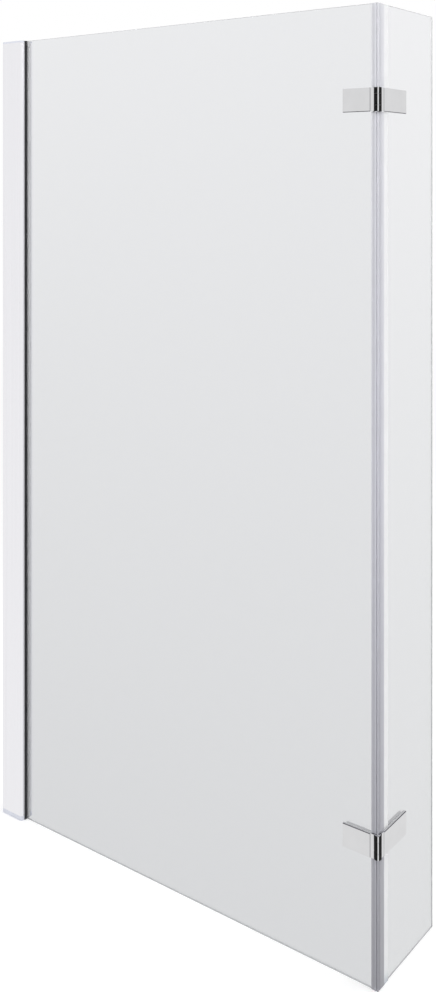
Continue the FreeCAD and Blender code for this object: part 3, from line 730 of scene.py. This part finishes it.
class BATHSCREEN_OT_hinges(bpy.types.Operator):
    """Make the plates, knuckles, shells, clamps, pads, pins and washers of both hinges"""

    bl_idname = "bath_screen.hinges"
    bl_label = "Hinges"

    def execute(self, context):
        sizes = sizes_mm(context)
        steps = sizes["round_steps"]
        for hinge in ("upper_hinge_", "lower_hinge_"):
            for side in ("main_", "return_"):
                stem = hinge + side
                dress_leaf(context, hinge, side, sizes)
                dress_copy(context, stem + "clamp", sizes["metal_edge"], steps)
                dress_copy(context, stem + "shells", sizes["fine_edge"], FINE_STEPS)
                for pad in ("outer_pad", "inner_pad"):
                    dress_copy(context, stem + pad, sizes["fine_edge"], FINE_STEPS, PAD_GAPS[side])
            dress_copy(context, hinge + "pin", sizes["fine_edge"], FINE_STEPS, PIN_GAPS)
            keep_node(context, hinge + "washers")
        return {"FINISHED"}


class BATHSCREEN_OT_fasteners(bpy.types.Operator):
    """Finish the hinge screws, their sleeves, the lock screws and their round covers"""

    bl_idname = "bath_screen.fasteners"
    bl_label = "Fasteners"

    def execute(self, context):
        sizes = sizes_mm(context)
        for hinge in ("upper_hinge_", "lower_hinge_"):
            for side in ("main_", "return_"):
                dress_copy(context, hinge + side + "screws", 2 * sizes["fine_edge"], FINE_STEPS)
                keep_node(context, hinge + side + "sleeves")
        dress_copy(context, "lock_screws", 2 * sizes["fine_edge"], FINE_STEPS)
        dress_copy(context, "lock_screw_covers", sizes["metal_edge"], TIP_STEPS)
        return {"FINISHED"}


# ---------------------------------------------------------------- stage

CAMERA_PLACE = (1.574, -1.329, 1.145)
CAMERA_TURN = math.radians(34.85)
CAMERA_LENS = 39.455
CAMERA_SHIFT = (-0.08266, -0.3159)

# Strength of the surround as light, and of the background to the eye, in gloss and through glass.
LIGHTING_LEVEL = 0.72
BACKGROUND_LEVEL = 1.0

# Each lamp: name, place, what it points at, width in metres and power in watts.
LAMPS = (
    ("front_lamp", (1.2, -3.0, 3.2), (0.4, 0.0, 0.7), 2.4, 60.0),
    ("side_lamp", (3.4, 1.2, 2.6), (0.6, 0.0, 0.7), 2.0, 35.0),
)

FLOOR_RADIUS = 30.0
FLOOR_LEVEL = -0.0005

# Distance from the middle, and the brightness that is added to the floor there for the eye only.
FLOOR_GLOW = ((1.5, 0.24), (7.0, 0.38))


def make_camera(context):
    """Camera at the photograph's viewpoint, level, with the shift that its framing needs."""
    data = bpy.data.cameras.new("photo_camera")
    data.sensor_width = 36.0
    data.lens = CAMERA_LENS
    data.shift_x, data.shift_y = CAMERA_SHIFT
    data.clip_start = 0.02
    camera = bpy.data.objects.new("photo_camera", data)
    camera.location = CAMERA_PLACE
    camera.rotation_euler = (math.radians(90.0), 0.0, CAMERA_TURN)
    context.scene.collection.objects.link(camera)
    context.scene.camera = camera


def level_by_ray(new, link, lighting, background):
    """Lighting level, or the background's for the eye, in reflections and through glass."""
    path = new("ShaderNodeLightPath")
    value = new("ShaderNodeValue")
    value.outputs["Value"].default_value = lighting
    result = value.outputs["Value"]
    for output in ("Is Glossy Ray", "Is Transmission Ray", "Is Camera Ray"):
        choice = new("ShaderNodeMix")
        choice.inputs["B"].default_value = background
        link(path.outputs[output], choice.inputs["Factor"])
        link(result, choice.inputs["A"])
        result = choice.outputs["Result"]
    return result


def make_world(context):
    """Surround that is white to the eye, in reflections and through glass, and softer as light."""
    world = bpy.data.worlds.new("studio")
    world.use_nodes = True
    context.scene.world = world
    new, link = world.node_tree.nodes.new, world.node_tree.links.new
    background = world.node_tree.nodes["Background"]
    strength = level_by_ray(new, link, LIGHTING_LEVEL, BACKGROUND_LEVEL)
    link(strength, background.inputs["Strength"])
    background.inputs["Color"].default_value = (1.0, 1.0, 1.0, 1.0)


def make_lamp(context, name, place, aim, size, power):
    """Soft square lamp that points at a spot."""
    data = bpy.data.lights.new(name, "AREA")
    data.size = size
    data.energy = power
    lamp = bpy.data.objects.new(name, data)
    lamp.location = place
    lamp.rotation_euler = (Vector(aim) - Vector(place)).to_track_quat("-Z", "Y").to_euler()
    context.scene.collection.objects.link(lamp)


def ramp_outwards(new, link, stops):
    """Grey that follows the distance from the middle, in metres."""
    coordinates = new("ShaderNodeTexCoord")
    measure = new("ShaderNodeVectorMath")
    measure.operation = "LENGTH"
    link(coordinates.outputs["Object"], measure.inputs[0])
    (near, near_level), (far, far_level) = stops
    reach = new("ShaderNodeMapRange")
    reach.inputs["From Min"].default_value = near
    reach.inputs["From Max"].default_value = far
    reach.inputs["To Min"].default_value = near_level
    reach.inputs["To Max"].default_value = far_level
    link(measure.outputs["Value"], reach.inputs["Value"])
    return reach.outputs["Result"]


def floor_material():
    """Pale paper: white but for the screen's shadow, and plain white in gloss and through glass."""
    material, new, link, shader = start_material("floor_paper")
    shader.inputs["Roughness"].default_value = 0.9
    shader.inputs["Specular IOR Level"].default_value = 0.0
    grain = object_grain(new, link, PAPER_GRAIN)
    mottle(new, link, grain, (0.86, 0.86, 0.86), 0.01, shader)
    link(ramp_outwards(new, link, FLOOR_GLOW), shader.inputs["Emission Color"])
    path = new("ShaderNodeLightPath")
    link(path.outputs["Is Camera Ray"], shader.inputs["Emission Strength"])
    background = new("ShaderNodeEmission")
    background.inputs["Color"].default_value = (1.0, 1.0, 1.0, 1.0)
    background.inputs["Strength"].default_value = BACKGROUND_LEVEL
    result = shader.outputs["BSDF"]
    for output in ("Is Glossy Ray", "Is Transmission Ray"):
        choice = new("ShaderNodeMixShader")
        link(path.outputs[output], choice.inputs["Fac"])
        link(result, choice.inputs[1])
        link(background.outputs["Emission"], choice.inputs[2])
        result = choice.outputs["Shader"]
    link(result, material.node_tree.nodes["Material Output"].inputs["Surface"])
    return material


def add_stage_piece(context, bm, name, material):
    """Put a piece of the studio in the scene."""
    mesh = bpy.data.meshes.new(name)
    bm.to_mesh(mesh)
    bm.free()
    mesh.materials.append(material)
    piece = bpy.data.objects.new(name, mesh)
    context.scene.collection.objects.link(piece)


def make_floor(context):
    """Round floor just below the screen."""
    bm = bmesh.new()
    bmesh.ops.create_circle(bm, cap_ends=True, segments=96, radius=FLOOR_RADIUS)
    bmesh.ops.translate(bm, vec=(0.0, 0.0, FLOOR_LEVEL), verts=bm.verts)
    add_stage_piece(context, bm, "floor", floor_material())


class BATHSCREEN_OT_stage(bpy.types.Operator):
    """Set up the camera, the white studio, its soft lamps and the floor"""

    bl_idname = "bath_screen.stage"
    bl_label = "Stage"

    def execute(self, context):
        context.scene.view_settings.view_transform = "Standard"
        make_camera(context)
        make_world(context)
        make_floor(context)
        for name, place, aim, size, power in LAMPS:
            make_lamp(context, name, place, aim, size, power)
        return {"FINISHED"}


# ---------------------------------------------------------------- panel and registration

OPERATORS = (
    BATHSCREEN_OT_stage,
    BATHSCREEN_OT_panes,
    BATHSCREEN_OT_corner_seals,
    BATHSCREEN_OT_wall_profile,
    BATHSCREEN_OT_glazing,
    BATHSCREEN_OT_hinges,
    BATHSCREEN_OT_fasteners,
)


class BATHSCREEN_PT_sidebar(bpy.types.Panel):
    """Sidebar panel with the screen's pieces, sizes and colours"""

    bl_idname = "BATHSCREEN_PT_sidebar"
    bl_label = "Bath Screen"
    bl_space_type = "VIEW_3D"
    bl_region_type = "UI"
    bl_category = "Bath Screen"

    def draw(self, context):
        column = self.layout.column(align=True)
        for operator in OPERATORS:
            column.operator(operator.bl_idname)
        for group in (context.scene.bath_screen_sizes, context.scene.bath_screen_colours):
            box = self.layout.box()
            for name in group.__annotations__:
                box.prop(group, name)


CLASSES = (BATHSCREEN_PG_sizes, BATHSCREEN_PG_colours) + OPERATORS + (BATHSCREEN_PT_sidebar,)


def register():
    for item in CLASSES:
        bpy.utils.register_class(item)
    bpy.types.Scene.bath_screen_sizes = PointerProperty(type=BATHSCREEN_PG_sizes)
    bpy.types.Scene.bath_screen_colours = PointerProperty(type=BATHSCREEN_PG_colours)


def unregister():
    del bpy.types.Scene.bath_screen_colours
    del bpy.types.Scene.bath_screen_sizes
    for item in reversed(CLASSES):
        bpy.utils.unregister_class(item)


def main():
    """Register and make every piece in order."""
    register()
    bpy.ops.bath_screen.stage()
    bpy.ops.bath_screen.panes()
    bpy.ops.bath_screen.corner_seals()
    bpy.ops.bath_screen.wall_profile()
    bpy.ops.bath_screen.glazing()
    bpy.ops.bath_screen.hinges()
    bpy.ops.bath_screen.fasteners()


if __name__ == "__main__":
    main()
